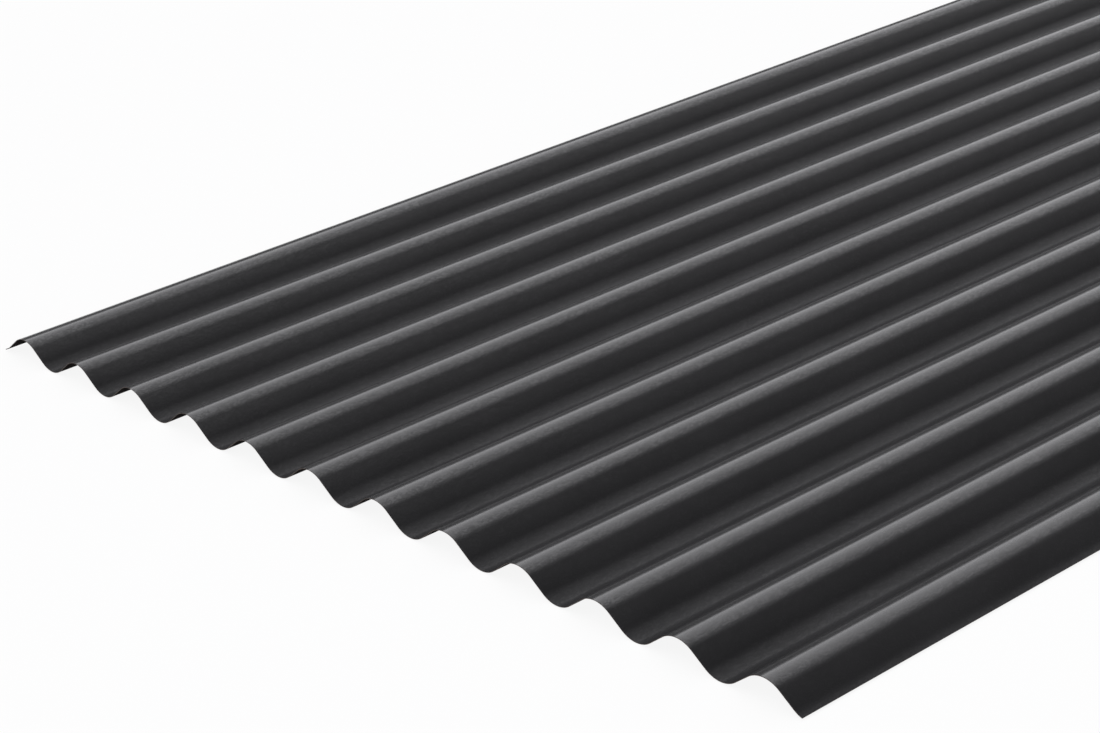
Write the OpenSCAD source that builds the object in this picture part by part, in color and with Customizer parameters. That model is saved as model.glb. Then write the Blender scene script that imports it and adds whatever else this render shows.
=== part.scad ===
// Corrugated metal sheet: one roll-formed sheet of coated steel, with round waves
// that run the whole length and a turned-down edge along each long side.
// It lies on its troughs. X is across the waves, Y along them, Z up.
// The origin is at floor level under the middle of the sheet.

/* [Sheet] */
// Length of the sheet, along the waves
sheet_length = 2000; // [500:50:6000]
// Thickness of the metal with its coating
sheet_thickness = 0.5; // [0.4:0.05:1.5]

/* [Waves] */
// Number of crests across the sheet
crest_count = 12; // [2:1:16]
// Distance from one crest to the next
wave_pitch = 76; // [56:1:96]
// Height over all, from the underside of a trough to the top of a crest
wave_depth = 18; // [14:0.5:26]
// Steepness of the straight flanks, as rise over run
flank_slope = 0.75; // [0.6:0.01:1.05]

/* [Long edges] */
// Distance from the middle of an outer crest to the long edge beside it
edge_overhang = 32; // [20:1:44]

/* [Hidden] */
$fn = 96;

// The wave at the middle of the metal: an arc at each crest and trough,
// joined by a straight flank that is tangent to both arcs.
half_pitch = wave_pitch / 2;
wave_rise = wave_depth - sheet_thickness;
flank_angle = atan(flank_slope);
bend_radius = (half_pitch * flank_slope - wave_rise) / (2 / cos(flank_angle) - 2);
arc_run = bend_radius * sin(flank_angle);
flank_length = (half_pitch - 2 * arc_run) / cos(flank_angle);
crest_centre = wave_depth - sheet_thickness / 2 - bend_radius;
trough_centre = sheet_thickness / 2 + bend_radius;

// Places across the sheet
first_crest = -(crest_count - 1) * half_pitch;
edge_place = edge_overhang - first_crest;

// How far the cutting outlines reach past the metal
cut_reach = 2 * (bend_radius + wave_depth);

// Downward slope of the metal, at a distance from the middle of a crest
function slope_at(run) =
    run < arc_run ? asin(run / bend_radius)
    : run < half_pitch - arc_run ? flank_angle
    : run < half_pitch + arc_run ? asin((half_pitch - run) / bend_radius)
    : -flank_angle;

// Height of the middle of the metal, at a distance from the middle of a crest
function height_at(run) =
    run < arc_run ? crest_centre + bend_radius * cos(slope_at(run))
    : run < half_pitch - arc_run ? wave_depth / 2 - (run - half_pitch / 2) * flank_slope
    : run < half_pitch + arc_run ? trough_centre - bend_radius * cos(slope_at(run))
    : wave_depth / 2 + (run - 1.5 * half_pitch) * flank_slope;

// The wedge of the plane that holds one crest's arc, from its centre up
module crest_wedge() {
    translate([0, crest_centre])
        polygon([
            [0, 0],
            [cut_reach * sin(flank_angle), cut_reach * cos(flank_angle)],
            [-cut_reach * sin(flank_angle), cut_reach * cos(flank_angle)]
        ]);
}

// The wedge that holds one trough's arc, from its centre down
module trough_wedge() {
    translate([0, trough_centre])
        polygon([
            [0, 0],
            [-cut_reach * sin(flank_angle), -cut_reach * cos(flank_angle)],
            [cut_reach * sin(flank_angle), -cut_reach * cos(flank_angle)]
        ]);
}

// A full ring of the metal, bent at the wave's radius
module bend_ring() {
    difference() {
        circle(r = bend_radius + sheet_thickness / 2);
        circle(r = bend_radius - sheet_thickness / 2);
    }
}

module crest_arc() {
    intersection() {
        translate([0, crest_centre]) bend_ring();
        crest_wedge();
    }
}

module trough_arc() {
    intersection() {
        translate([0, trough_centre]) bend_ring();
        trough_wedge();
    }
}

// The straight flank that falls from a crest at 0 to the trough on its right,
// ended by the same wedges that end the two arcs
module falling_flank() {
    difference() {
        translate([half_pitch / 2, wave_depth / 2])
            rotate(-flank_angle)
                square([flank_length + arc_run, sheet_thickness], center = true);
        crest_wedge();
        translate([half_pitch, 0]) trough_wedge();
    }
}

// One whole wave: a crest at 0, its two flanks and the trough on its right
module wave() {
    crest_arc();
    falling_flank();
    mirror([1, 0]) falling_flank();
    translate([half_pitch, 0]) trough_arc();
}

// Keeps what lies between the long edges, each cut square across the metal
module edge_trim() {
    edge_point = [edge_place, height_at(edge_overhang)];
    across = cut_reach * [sin(slope_at(edge_overhang)), cos(slope_at(edge_overhang))];
    upper = edge_point + across;
    lower = edge_point - across;
    polygon([lower, upper, [-upper[0], upper[1]], [-lower[0], lower[1]]]);
}

// Section across the waves, with one spare wave past each long edge before the trim
module wave_section() {
    intersection() {
        union() {
            for (i = [-1 : crest_count])
                translate([first_crest + i * wave_pitch, 0]) wave();
        }
        edge_trim();
    }
}

module corrugated_sheet() {
    color("#3a3b3d")
        rotate([90, 0, 0])
            linear_extrude(height = sheet_length, center = true) wave_section();
}

corrugated_sheet();
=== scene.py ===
import math
import bpy
from mathutils import Matrix, Vector


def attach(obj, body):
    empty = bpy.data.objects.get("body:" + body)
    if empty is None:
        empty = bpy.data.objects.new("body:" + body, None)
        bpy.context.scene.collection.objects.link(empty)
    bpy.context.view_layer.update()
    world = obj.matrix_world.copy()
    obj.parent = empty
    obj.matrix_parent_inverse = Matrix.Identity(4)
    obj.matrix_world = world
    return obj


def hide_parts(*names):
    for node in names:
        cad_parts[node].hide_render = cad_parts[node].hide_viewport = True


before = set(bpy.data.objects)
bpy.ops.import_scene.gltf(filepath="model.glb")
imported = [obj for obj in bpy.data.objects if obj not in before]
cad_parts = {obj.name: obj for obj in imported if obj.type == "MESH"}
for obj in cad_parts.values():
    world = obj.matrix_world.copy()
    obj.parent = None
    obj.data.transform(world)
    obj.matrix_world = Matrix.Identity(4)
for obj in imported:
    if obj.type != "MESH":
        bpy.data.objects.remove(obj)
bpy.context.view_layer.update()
print("frame loaded")


def pickNothing():
    if bpy.context.mode != "OBJECT":
        bpy.ops.object.mode_set(mode="OBJECT")
    bpy.ops.object.select_all(action="DESELECT")


# leaves the mesh in edit mode with the edges selected whose two ends pass the test
def selectEdges(obj, test):
    bpy.ops.object.mode_set(mode="OBJECT")
    mesh = obj.data
    for v in mesh.vertices:
        v.select = False
    for p in mesh.polygons:
        p.select = False
    for e in mesh.edges:
        a = mesh.vertices[e.vertices[0]].co
        b = mesh.vertices[e.vertices[1]].co
        e.select = test(a, b)
    bpy.ops.object.mode_set(mode="EDIT")
    bpy.ops.mesh.select_mode(type="EDGE")


def applyModifier(obj, name, kind, settings):
    modifier = obj.modifiers.new(name, kind)
    for key, value in settings.items():
        setattr(modifier, key, value)
    bpy.ops.object.modifier_apply(modifier=name)


# metres and degrees, with the part's own sizes as in its source
sheetValues = {
    "length": 2.0,
    "thickness": 0.0005,
    "crests": 12,
    "pitch": 0.076,
    "depth": 0.018,
    "flankSlope": 0.75,  # rise over run of the straight flanks
    "edgeOverhang": 0.032,  # from the outer crest to the long edge
    "bendSteps": 18,  # faces round one bend
    "lengthCuts": 19,
    "edgeRound": 0.00009,  # rounding of the cut edges
    "roundSteps": 2,
    "cornerAngle": 60.0,  # sharper corners than this are rounded
    "smoothAngle": 15.0,  # below the rounding's corners, so they don't tilt the shading beside them
}


# one wave is bent from a single long edge, then repeated and trimmed
def makeSheet(values):
    half = values["pitch"] / 2
    rise = values["depth"] - values["thickness"]
    slope = values["flankSlope"]
    angle = math.atan(slope)
    radius = (half * slope - rise) / (2 / math.cos(angle) - 2)
    bendRun = radius * math.sin(angle)
    flankRun = half - 2 * bendRun
    crestCentre = values["depth"] - values["thickness"] / 2 - radius
    troughCentre = values["thickness"] / 2 + radius
    outerCrest = (values["crests"] - 1) * half
    spareWaves = 1  # on each side, cut off later
    startCrest = -outerCrest - spareWaves * values["pitch"]
    startX = startCrest - bendRun
    startZ = crestCentre + radius * math.cos(angle)
    weld = 0.00001

    # a plane keeps only its left edge, which goes to the start of the wave
    pickNothing()
    bpy.ops.mesh.primitive_plane_add(size=values["length"], location=(0, 0, 0))
    obj = bpy.context.object
    obj.name = "coatedSheet"
    selectEdges(obj, lambda a, b: a.x > 0 and b.x > 0)
    bpy.ops.mesh.delete(type="VERT")
    bpy.ops.mesh.select_all(action="SELECT")
    bpy.ops.transform.translate(value=(startX + values["length"] / 2, 0, startZ))

    # crest, falling flank, trough, rising flank
    bends = (
        (startCrest, crestCentre, -2 * angle, -slope),
        (startCrest + half, troughCentre, 2 * angle, slope),
    )
    for centreX, centreZ, turn, climb in bends:
        bpy.ops.mesh.spin(
            steps=values["bendSteps"],
            angle=turn,
            center=(centreX, 0, centreZ),
            axis=(0, 1, 0),
        )
        flank = (flankRun, 0, climb * flankRun)
        bpy.ops.mesh.extrude_region_move(TRANSFORM_OT_translate={"value": flank})
    bpy.ops.object.mode_set(mode="OBJECT")
    print("one wave bent:", len(obj.data.polygons), "faces")

    applyModifier(obj, "waves", "ARRAY", {
        "use_relative_offset": False,
        "use_constant_offset": True,
        "constant_offset_displace": (values["pitch"], 0, 0),
        "count": values["crests"] + 2 * spareWaves,
        "use_merge_vertices": True,
        "merge_threshold": weld,
    })

    # long edges cut square across the metal
    edgeX = outerCrest + values["edgeOverhang"]
    lean = (half - values["edgeOverhang"]) / radius
    upright = math.sqrt(1 - lean * lean)
    edgeZ = troughCentre - radius * upright
    for side in (1, -1):
        bpy.ops.object.mode_set(mode="EDIT")
        bpy.ops.mesh.select_all(action="SELECT")
        bpy.ops.mesh.bisect(
            plane_co=(side * edgeX, 0, edgeZ),
            plane_no=(side * upright, 0, -lean),
            clear_outer=True,
        )
    bpy.ops.mesh.select_all(action="SELECT")
    bpy.ops.mesh.remove_doubles(threshold=weld)
    bpy.ops.mesh.normals_make_consistent(inside=False)
    bpy.ops.object.mode_set(mode="OBJECT")
    if sum(p.normal.z for p in obj.data.polygons) < 0:
        obj.data.flip_normals()

    # shorter faces along the waves
    selectEdges(obj, lambda a, b: abs(a.y - b.y) > weld)
    bpy.ops.mesh.subdivide(number_cuts=values["lengthCuts"])
    bpy.ops.object.mode_set(mode="OBJECT")

    applyModifier(obj, "wall", "SOLIDIFY", {
        "thickness": values["thickness"],
        "offset": 0.0,
        "use_even_offset": True,
    })
    applyModifier(obj, "rounding", "BEVEL", {
        "width": values["edgeRound"],
        "segments": values["roundSteps"],
        "limit_method": "ANGLE",
        "angle_limit": math.radians(values["cornerAngle"]),
    })
    bpy.ops.object.shade_smooth_by_angle(angle=math.radians(values["smoothAngle"]))
    print("sheet shaped:", len(obj.data.polygons), "faces")
    return obj


# joins a socket, or sets a plain value on it
def plug(tree, socket, value):
    if isinstance(value, bpy.types.NodeSocket):
        tree.links.new(value, socket)
    else:
        socket.default_value = value


def addMath(tree, operation, *values):
    node = tree.nodes.new("ShaderNodeMath")
    node.operation = operation
    for socket, value in zip(node.inputs, values):
        plug(tree, socket, value)
    return node.outputs["Value"]


def addVectorMath(tree, operation, first, second):
    node = tree.nodes.new("ShaderNodeVectorMath")
    node.operation = operation
    plug(tree, node.inputs[0], first)
    plug(tree, node.inputs["Scale"] if operation == "SCALE" else node.inputs[1], second)
    return node.outputs["Vector"]


def addRange(tree, value, fromMin, fromMax, toMin=0.0, toMax=1.0, blend="LINEAR"):
    node = tree.nodes.new("ShaderNodeMapRange")
    node.interpolation_type = blend
    plug(tree, node.inputs["Value"], value)
    plug(tree, node.inputs["From Min"], fromMin)
    plug(tree, node.inputs["From Max"], fromMax)
    plug(tree, node.inputs["To Min"], toMin)
    plug(tree, node.inputs["To Max"], toMax)
    return node.outputs["Result"]


def addNoise(tree, place, scale, detail, roughness=0.5):
    node = tree.nodes.new("ShaderNodeTexNoise")
    plug(tree, node.inputs["Vector"], place)
    plug(tree, node.inputs["Scale"], scale)
    node.inputs["Detail"].default_value = detail
    node.inputs["Roughness"].default_value = roughness
    return node


def addColourMix(tree, factor, first, second):
    node = tree.nodes.new("ShaderNodeMix")
    node.data_type = "RGBA"
    plug(tree, node.inputs["Factor"], factor)
    plug(tree, node.inputs["A"], first)
    plug(tree, node.inputs["B"], second)
    return node.outputs["Result"]


def newMaterial(name):
    mat = bpy.data.materials.new(name)
    mat.use_nodes = True
    return mat, mat.node_tree, mat.node_tree.nodes["Principled BSDF"]


# the high parts of a mask come out smoother than the low ones
def roughenFinish(tree, shader, values, mask, low, high):
    halfSpread = values["roughnessSpread"] / 2
    dull = values["roughness"] + halfSpread
    smooth = values["roughness"] - halfSpread
    plug(tree, shader.inputs["Roughness"], addRange(tree, mask, low, high, dull, smooth))


# wrinkles of the coats, which each coat scales for itself
grainValues = {
    "lean": -14.0,  # degrees off the direction of the waves
    "driftScale": 130.0,  # a slow drift keeps the wrinkles from running dead straight
    "driftDetail": 1.0,
    "driftReach": 0.006,
    "wrinkleDetail": 2.0,
    "wrinkleRoughness": 0.45,
    "ridgeGain": 2.6,
    "fineScale": 1700.0,  # fine tooth on top of the wrinkles
    "fineDetail": 1.0,
    "fineShare": 0.25,
    "patchScale": 26.0,  # slow change of tone
    "patchDetail": 3.0,
}


def makeGrainGroup(values):
    tree = bpy.data.node_groups.new("coatGrain", "ShaderNodeTree")
    sockets = (("Scale", "INPUT"), ("Stretch", "INPUT"), ("Height", "OUTPUT"), ("Patch", "OUTPUT"))
    for name, direction in sockets:
        tree.interface.new_socket(name=name, in_out=direction, socket_type="NodeSocketFloat")
    entry = tree.nodes.new("NodeGroupInput")
    leave = tree.nodes.new("NodeGroupOutput")
    spot = tree.nodes.new("ShaderNodeTexCoord").outputs["Object"]

    lean = tree.nodes.new("ShaderNodeMapping")
    lean.inputs["Rotation"].default_value = (0, 0, math.radians(values["lean"]))
    plug(tree, lean.inputs["Vector"], spot)
    stretch = tree.nodes.new("ShaderNodeCombineXYZ")
    stretch.inputs["X"].default_value = 1.0
    stretch.inputs["Z"].default_value = 1.0
    plug(tree, stretch.inputs["Y"], entry.outputs["Stretch"])
    place = addVectorMath(tree, "MULTIPLY", lean.outputs["Vector"], stretch.outputs["Vector"])
    drift = addNoise(tree, spot, values["driftScale"], values["driftDetail"]).outputs["Color"]
    drift = addVectorMath(tree, "SCALE", drift, values["driftReach"])
    bent = addVectorMath(tree, "ADD", place, drift)

    # noise folded about its middle gives rounded ridges with narrow valleys
    noiseMiddle = 0.5
    scale = entry.outputs["Scale"]
    wrinkle = addNoise(tree, bent, scale, values["wrinkleDetail"], values["wrinkleRoughness"]).outputs["Fac"]
    ridge = addMath(tree, "ABSOLUTE", addMath(tree, "SUBTRACT", wrinkle, noiseMiddle))
    ridge = addMath(tree, "MULTIPLY", ridge, values["ridgeGain"])
    fine = addNoise(tree, spot, values["fineScale"], values["fineDetail"]).outputs["Fac"]
    height = addMath(tree, "MULTIPLY_ADD", fine, values["fineShare"], ridge)
    plug(tree, leave.inputs["Height"], height)

    patch = addNoise(tree, place, values["patchScale"], values["patchDetail"]).outputs["Fac"]
    plug(tree, leave.inputs["Patch"], patch)
    return tree


# coat on the weather face
coatValues = {
    "colour": (0.0158, 0.0157, 0.0164, 1.0),
    "paleColour": (0.0208, 0.0207, 0.0216, 1.0),
    "roughness": 0.50,
    "roughnessSpread": 0.10,
    "sheen": 0.04,  # how far the paint itself mirrors
    "gloss": 1.0,  # clear coat on the crests, polished by the rolls
    "troughGloss": 0.14,
    "glossRoughness": 0.17,
    "grainScale": 480.0,  # wrinkles per metre across the waves
    "grainStretch": 0.42,  # the lower, the longer the wrinkles
    "grainHeight": 0.00009,
    "grainBreak": 0.50,  # share of the gloss lost between the wrinkles
    "crestRub": 0.92,  # how far the very tops are rubbed smooth
}

# thin matt coat on the underside
backValues = {
    "colour": (0.014, 0.0118, 0.0110, 1.0),
    "paleColour": (0.021, 0.0178, 0.0166, 1.0),
    "roughness": 0.60,
    "roughnessSpread": 0.12,
    "sheen": 0.0,
    "gloss": 0.0,
    "troughGloss": 0.03,
    "glossRoughness": 0.4,
    "grainScale": 420.0,
    "grainStretch": 0.5,
    "grainHeight": 0.00003,
    "grainBreak": 0.3,
    "crestRub": 0.0,
}

# heights at which the coats change, in metres: the first from the troughs' foot, the others below the tops
glossValues = {
    "fadeFoot": 0.0035,  # trough gloss up to here
    "fadeDrop": 0.0030,  # full gloss from here up
    "rubDrop": 0.0014,  # where the rub begins
    "rubFull": 0.0001,
}


def makeCoat(name, values, group, crestTop):
    mat, tree, shader = newMaterial(name)
    shader.inputs["Specular IOR Level"].default_value = values["sheen"]
    shader.inputs["Coat Roughness"].default_value = values["glossRoughness"]

    grain = tree.nodes.new("ShaderNodeGroup")
    grain.node_tree = group
    grain.inputs["Scale"].default_value = values["grainScale"]
    grain.inputs["Stretch"].default_value = values["grainStretch"]
    ridges = grain.outputs["Height"]

    # tone drifts in patches, and the ridges are a little paler than the valleys
    ridgeTone, patchTone = 0.30, 0.80
    darkest, palest = 0.30, 0.70
    patch = addMath(tree, "MULTIPLY", grain.outputs["Patch"], patchTone)
    mottle = addMath(tree, "MULTIPLY_ADD", ridges, ridgeTone, patch)
    tone = addRange(tree, mottle, darkest, palest)
    colour = addColourMix(tree, tone, values["colour"], values["paleColour"])
    plug(tree, shader.inputs["Base Color"], colour)

    smoothRidge = 0.70
    roughenFinish(tree, shader, values, ridges, 0.0, smoothRidge)

    # gloss fades down the flanks and breaks up between the wrinkles, less so on the rubbed tops
    fadeFoot = glossValues["fadeFoot"]
    fadeTop = crestTop - glossValues["fadeDrop"]
    rubFoot = crestTop - glossValues["rubDrop"]
    rubTop = crestTop - glossValues["rubFull"]
    dullRidge, glossyRidge = 0.10, 0.45
    parts = tree.nodes.new("ShaderNodeSeparateXYZ")
    plug(tree, parts.inputs["Vector"], tree.nodes.new("ShaderNodeTexCoord").outputs["Object"])
    level = parts.outputs["Z"]
    fade = addRange(tree, level, fadeFoot, fadeTop, values["troughGloss"], values["gloss"], "SMOOTHSTEP")
    valleyGloss = 1.0 - values["grainBreak"]
    rubbedGloss = 1.0 - values["grainBreak"] * (1.0 - values["crestRub"])
    rub = addRange(tree, level, rubFoot, rubTop, valleyGloss, rubbedGloss)
    broken = addRange(tree, ridges, dullRidge, glossyRidge, rub)
    plug(tree, shader.inputs["Coat Weight"], addMath(tree, "MULTIPLY", fade, broken))

    bump = tree.nodes.new("ShaderNodeBump")
    bump.inputs["Distance"].default_value = values["grainHeight"]
    plug(tree, bump.inputs["Height"], ridges)
    plug(tree, shader.inputs["Normal"], bump.outputs["Normal"])
    return mat


# sheared metal at the ends and along the long edges
edgeValues = {
    "colour": (0.085, 0.058, 0.048, 1.0),
    "darkColour": (0.020, 0.015, 0.013, 1.0),
    "roughness": 0.45,
    "roughnessSpread": 0.24,
    "metallic": 0.6,
    "streakScale": 900.0,
    "streakDetail": 3.0,
}


def makeCutEdge(values):
    mat, tree, shader = newMaterial("shearedEdge")
    shader.inputs["Metallic"].default_value = values["metallic"]
    spot = tree.nodes.new("ShaderNodeTexCoord").outputs["Object"]
    streak = addNoise(tree, spot, values["streakScale"], values["streakDetail"]).outputs["Fac"]
    darkest, palest = 0.35, 0.65
    tone = addRange(tree, streak, darkest, palest)
    colour = addColourMix(tree, tone, values["darkColour"], values["colour"])
    plug(tree, shader.inputs["Base Color"], colour)
    roughenFinish(tree, shader, values, streak, 0.0, 1.0)
    return mat


# weather face, underside and cut edges are told apart by place and direction
def dressSheet(obj, values):
    group = makeGrainGroup(grainValues)
    crestTop = values["depth"]
    obj.data.materials.clear()
    obj.data.materials.append(makeCoat("charcoalCoat", coatValues, group, crestTop))
    obj.data.materials.append(makeCoat("backingCoat", backValues, group, crestTop))
    obj.data.materials.append(makeCutEdge(edgeValues))
    weather, under, cut = 0, 1, 2
    endY = values["length"] / 2 - 2 * values["edgeRound"]  # the rounded rims count as cut
    edgeX = (values["crests"] - 1) * values["pitch"] / 2 + values["edgeOverhang"]
    sideX = edgeX - values["thickness"]
    outward = 0.5  # least sideways part of the normal on a long edge
    for p in obj.data.polygons:
        onEnd = abs(p.center.y) > endY
        facesOut = p.normal.x * math.copysign(1, p.center.x) > outward
        if onEnd or (facesOut and abs(p.center.x) > sideX):
            p.material_index = cut
        elif p.normal.z < 0:
            p.material_index = under
        else:
            p.material_index = weather


coatedSheet = makeSheet(sheetValues)
dressSheet(coatedSheet, sheetValues)
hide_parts("corrugated_sheet")
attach(coatedSheet, "root")
print("sheet coated")


floorValues = {
    "size": 40.0,
    "drop": 0.0003,  # clear of the troughs
    "colour": (0.82, 0.82, 0.82, 1.0),
    "roughness": 0.9,
    "glow": 0.90,  # share of the floor's white that a shadow can't darken
}


def makeFloor(values):
    pickNothing()
    bpy.ops.mesh.primitive_plane_add(size=values["size"], location=(0, 0, -values["drop"]))
    obj = bpy.context.object
    obj.name = "paleFloor"
    mat, tree, shader = newMaterial("paleFloor")
    shader.inputs["Base Color"].default_value = values["colour"]
    shader.inputs["Roughness"].default_value = values["roughness"]
    shader.inputs["Specular IOR Level"].default_value = 0.0
    glow = tree.nodes.new("ShaderNodeEmission")
    glow.inputs["Color"].default_value = (1, 1, 1, 1)
    path = tree.nodes.new("ShaderNodeLightPath").outputs
    seen = addMath(tree, "MAXIMUM", path["Is Camera Ray"], path["Is Glossy Ray"])
    seen = addMath(tree, "MAXIMUM", seen, path["Is Transmission Ray"])
    mix = tree.nodes.new("ShaderNodeMixShader")
    plug(tree, mix.inputs["Fac"], addMath(tree, "MULTIPLY", seen, values["glow"]))
    plug(tree, mix.inputs[1], shader.outputs["BSDF"])
    plug(tree, mix.inputs[2], glow.outputs["Emission"])
    plug(tree, tree.nodes["Material Output"].inputs["Surface"], mix.outputs["Shader"])
    obj.data.materials.append(mat)


# soft light from the left wall and over the ceiling, weaker from the right wall
skyValues = {
    "strength": 2.9,
    "tint": (0.99, 0.985, 1.015),
    # degrees up from the left wall's foot, over the ceiling, to the right wall's foot
    "levels": (
        (0, 0.05), (26, 0.05), (33, 0.82), (41, 0.67), (52, 0.62), (63, 0.61), (74, 0.62), (85, 0.53),
        (96, 0.20), (105, 0.06), (120, 0.03), (138, 0.07), (150, 0.35), (166, 0.35), (178, 0.10),
    ),
}


def makeSky(values):
    world = bpy.data.worlds.new("studioSky")
    bpy.context.scene.world = world
    world.use_nodes = True
    tree = world.node_tree
    parts = tree.nodes.new("ShaderNodeSeparateXYZ")
    plug(tree, parts.inputs["Vector"], tree.nodes.new("ShaderNodeTexCoord").outputs["Generated"])
    leftward = addMath(tree, "MULTIPLY", parts.outputs["X"], -1.0)
    climb = addMath(tree, "ARCTAN2", parts.outputs["Z"], leftward)
    ramp = tree.nodes.new("ShaderNodeValToRGB")
    plug(tree, ramp.inputs["Fac"], addMath(tree, "DIVIDE", climb, math.pi))
    stops = ramp.color_ramp.elements
    while len(stops) > 1:
        stops.remove(stops[0])
    red, green, blue = values["tint"]
    for i, (degrees, level) in enumerate(values["levels"]):
        place = math.radians(degrees) / math.pi
        stop = stops[0] if i == 0 else stops.new(place)
        stop.position = place
        stop.color = (level * red, level * green, level * blue, 1)
    light = tree.nodes["Background"]
    light.inputs["Strength"].default_value = values["strength"]
    plug(tree, light.inputs["Color"], ramp.outputs["Color"])

    # what is seen past the floor is plain white
    white = tree.nodes.new("ShaderNodeBackground")
    white.inputs["Color"].default_value = (1, 1, 1, 1)
    white.inputs["Strength"].default_value = 1.0
    path = tree.nodes.new("ShaderNodeLightPath").outputs
    seen = addMath(tree, "MAXIMUM", path["Is Camera Ray"], path["Is Transmission Ray"])
    mix = tree.nodes.new("ShaderNodeMixShader")
    plug(tree, mix.inputs["Fac"], seen)
    plug(tree, mix.inputs[1], light.outputs["Background"])
    plug(tree, mix.inputs[2], white.outputs["Background"])
    plug(tree, tree.nodes["World Output"].inputs["Surface"], mix.outputs["Shader"])


# a large weak lamp on the near side, turned to the middle of the sheet
lampValues = {
    "size": 3.0,
    "place": (1.6, -1.8, 3.0),
    "power": 10.0,
}


def makeLamp(values):
    data = bpy.data.lights.new("keyLight", "AREA")
    data.shape = "SQUARE"
    data.size = values["size"]
    data.energy = values["power"]
    obj = bpy.data.objects.new("keyLight", data)
    bpy.context.scene.collection.objects.link(obj)
    place = Vector(values["place"])
    obj.location = place
    obj.rotation_mode = "QUATERNION"
    obj.rotation_quaternion = (-place).to_track_quat("-Z", "Y")
    obj.visible_camera = False
    obj.visible_glossy = False


makeFloor(floorValues)
makeSky(skyValues)
makeLamp(lampValues)
print("studio lit")


# the photograph's view: metres, degrees, pixels for the focal length, millimetres for the sensor
cameraValues = {
    "place": (1.4916, -2.0774, 0.89285),
    "azimuth": 49.302,
    "elevation": 23.437,
    "roll": -4.13,
    "focalPixels": 2833.455,
    "picturePixels": 1100.0,
    "sensor": 36.0,
    "clipStart": 0.05,
    "clipEnd": 100.0,
}


def makeCamera(values):
    az = math.radians(values["azimuth"])
    el = math.radians(values["elevation"])
    roll = math.radians(values["roll"])
    ahead = Vector((-math.sin(az) * math.cos(el), math.cos(az) * math.cos(el), -math.sin(el)))
    level = ahead.cross(Vector((0, 0, 1))).normalized()
    upright = level.cross(ahead)
    right = level * math.cos(roll) + upright * math.sin(roll)
    up = upright * math.cos(roll) - level * math.sin(roll)
    data = bpy.data.cameras.new("photoCamera")
    data.sensor_width = values["sensor"]
    data.lens = values["focalPixels"] / values["picturePixels"] * values["sensor"]
    data.clip_start = values["clipStart"]
    data.clip_end = values["clipEnd"]
    obj = bpy.data.objects.new("photoCamera", data)
    bpy.context.scene.collection.objects.link(obj)
    turn = Matrix((right, up, -ahead)).transposed()
    obj.matrix_world = Matrix.Translation(Vector(values["place"])) @ turn.to_4x4()
    bpy.context.scene.camera = obj


makeCamera(cameraValues)
bpy.context.scene.view_settings.view_transform = "Standard"
print("camera placed")

pickNothing()
bpy.context.view_layer.update()
